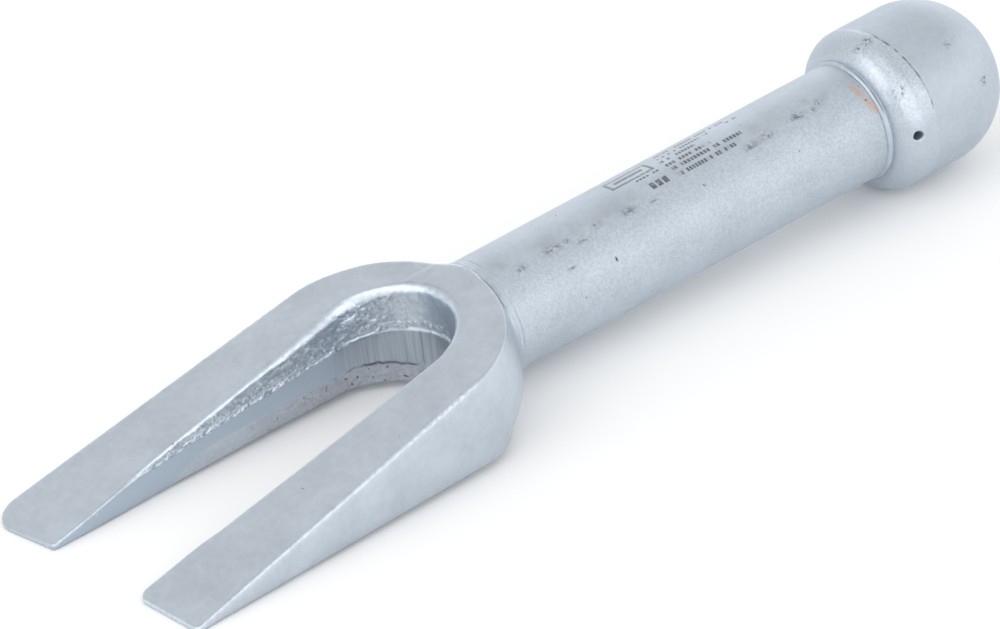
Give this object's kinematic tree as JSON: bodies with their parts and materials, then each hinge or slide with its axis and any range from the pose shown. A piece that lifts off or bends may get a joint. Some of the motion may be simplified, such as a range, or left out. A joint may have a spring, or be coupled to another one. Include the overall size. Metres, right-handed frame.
{
  "type": "ball joint separator",
  "caption": "Forged wedge fork on a round shank with a domed striking head, for driving ball joints and tie rod ends apart.",
  "frame": {"origin": "centre of the fork's throat, on the shank's axis", "axes": "+X along the shank towards the striking head, +Z towards the sloping wedge face, +Y to the left prong seen from the head end"},
  "size_m": [0.24, 0.0652, 0.0362],
  "materials": {
    "fork_steel": "satin zinc plate on forged steel",
    "shank_steel": "satin zinc plate on shot-blasted steel",
    "head_steel": "satin zinc plate on shot-blasted steel",
    "weld_steel": "satin zinc plate over a weld bead"
  },
  "bodies": {
    "root": {"prong_fork": "fork_steel", "shank": "shank_steel", "striking_head": "head_steel", "fork_weld_bead": "weld_steel", "head_weld_bead": "weld_steel"}
  },
  "joints": []
}
